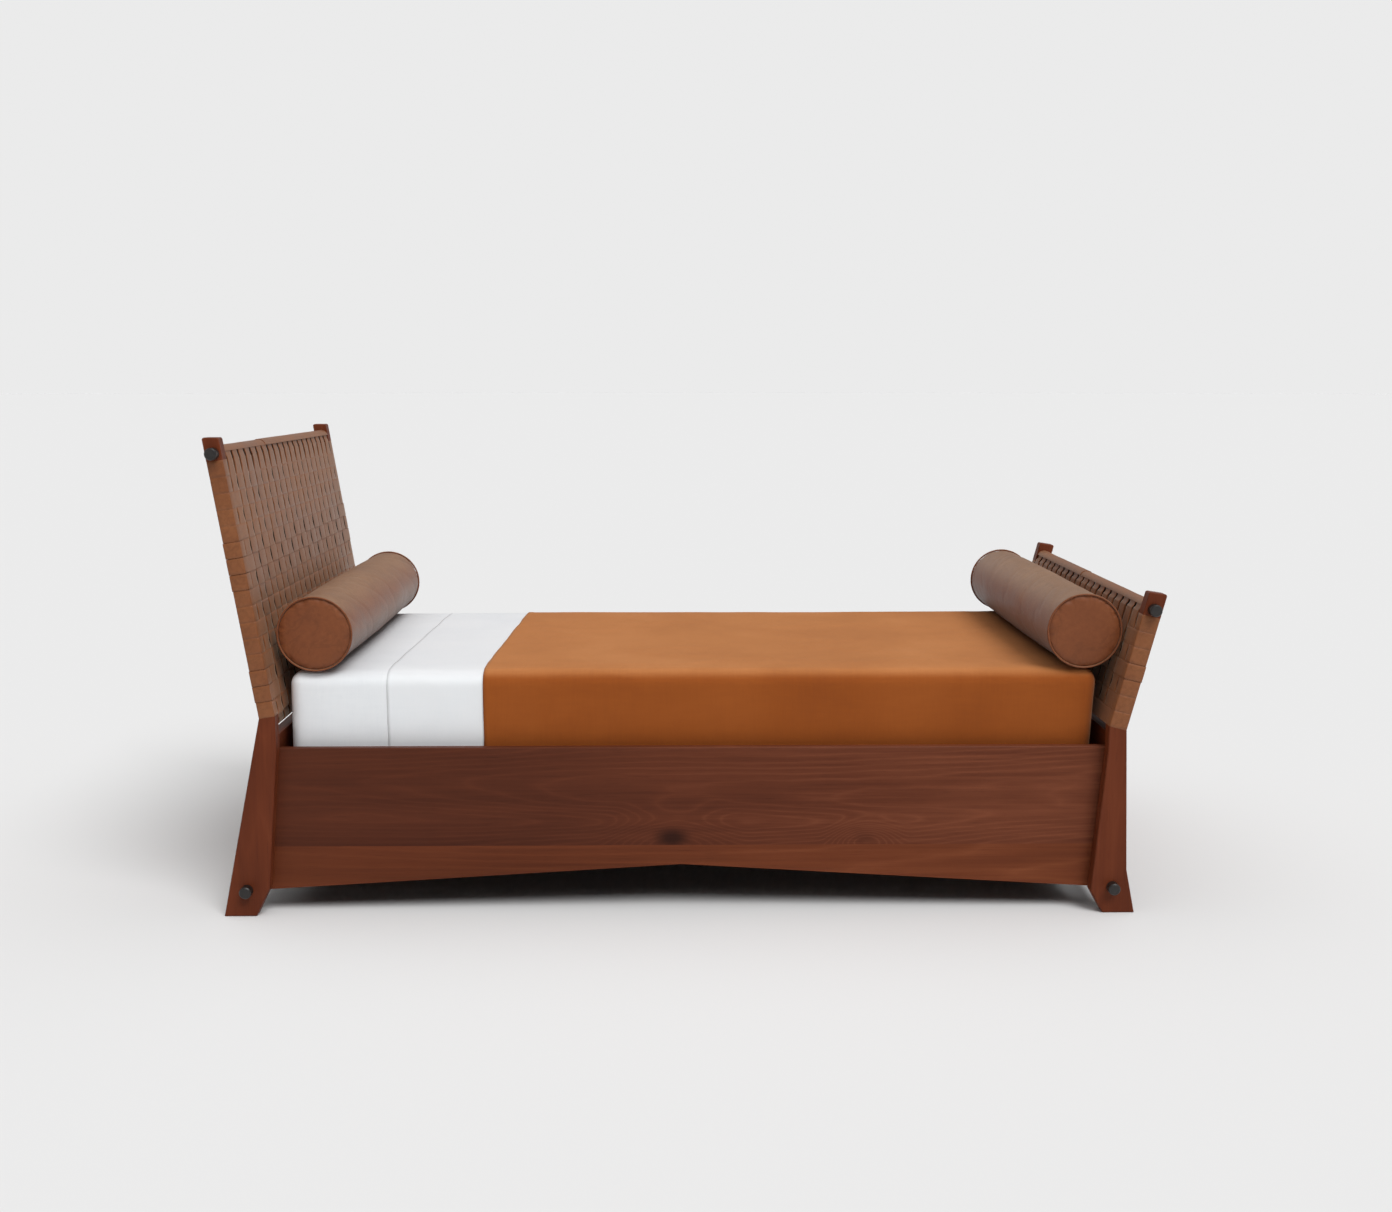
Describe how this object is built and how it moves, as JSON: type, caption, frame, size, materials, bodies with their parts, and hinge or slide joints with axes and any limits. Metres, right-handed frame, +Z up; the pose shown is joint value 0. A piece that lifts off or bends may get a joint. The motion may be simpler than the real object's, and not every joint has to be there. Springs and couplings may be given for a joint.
{
  "type": "daybed",
  "caption": "Hardwood daybed with two raked end frames, woven leather head and foot panels, boarded side rails, a made-up single mattress and two round leather bolsters.",
  "frame": {"origin": "on the floor, under the middle of the whole bed", "axes": "+X from the head end to the foot end along the bed, +Y to its rear side, +Z up"},
  "size_m": [2.1734, 1.152, 1.1082],
  "materials": {
    "red_timber": "oiled reddish-brown hardwood, satin",
    "black_rod": "blackened hardwood dowel, satin",
    "deck_timber": "plain planed pale timber, matt",
    "strap_leather": "brown saddle leather strap, soft sheen",
    "bolster_leather": "smooth brown leather, soft sheen",
    "bolster_fill": "fibre fill",
    "ticking": "woven cotton ticking",
    "white_linen": "washed white cotton-linen, matt",
    "rust_coverlet": "brushed rust-brown cloth, matt with a soft nap",
    "steel": "zinc-plated steel"
  },
  "bodies": {
    "bed_frame": {"barrel_nuts": "steel", "bed_bolt_washers": "steel", "bed_bolts": "steel", "foot_end_rail": "red_timber", "foot_panel_rod": "deck_timber", "foot_post_front": "red_timber", "foot_post_rear": "red_timber", "foot_stretcher": "black_rod", "foot_top_rod": "black_rod", "foot_warp_straps": "strap_leather", "foot_weft_straps": "strap_leather", "front_ledger": "deck_timber", "front_rail_lower_board": "red_timber", "front_rail_upper_board": "red_timber", "head_end_rail": "red_timber", "head_panel_rod": "deck_timber", "head_post_front": "red_timber", "head_post_rear": "red_timber", "head_stretcher": "black_rod", "head_top_rod": "black_rod", "head_warp_straps": "strap_leather", "head_weft_straps": "strap_leather", "ledger_screws": "steel", "rear_ledger": "deck_timber", "rear_rail_lower_board": "red_timber", "rear_rail_upper_board": "red_timber", "slat_01": "deck_timber", "slat_02": "deck_timber", "slat_03": "deck_timber", "slat_04": "deck_timber", "slat_05": "deck_timber", "slat_06": "deck_timber", "slat_07": "deck_timber", "slat_08": "deck_timber", "slat_09": "deck_timber", "slat_10": "deck_timber", "slat_11": "deck_timber", "slat_12": "deck_timber", "slat_13": "deck_timber", "slat_14": "deck_timber", "slat_screws": "steel"},
    "mattress": {"mattress": "ticking", "fitted_sheet": "white_linen", "top_sheet": "white_linen", "coverlet": "rust_coverlet"},
    "head_bolster": {"head_bolster_cover": "bolster_leather", "head_bolster_ends": "bolster_leather", "head_bolster_fill": "bolster_fill"},
    "foot_bolster": {"foot_bolster_cover": "bolster_leather", "foot_bolster_ends": "bolster_leather", "foot_bolster_fill": "bolster_fill"}
  },
  "joints": [
    {"name": "mattress_lift", "type": "slide", "parent": "bed_frame", "child": "mattress", "axis": [0, 0, 1], "range_m": [0, 0.35]},
    {"name": "head_bolster_lift", "type": "slide", "parent": "mattress", "child": "head_bolster", "axis": [0, 0, 1], "range_m": [0, 0.25]},
    {"name": "foot_bolster_lift", "type": "slide", "parent": "mattress", "child": "foot_bolster", "axis": [0, 0, 1], "range_m": [0, 0.25]}
  ]
}
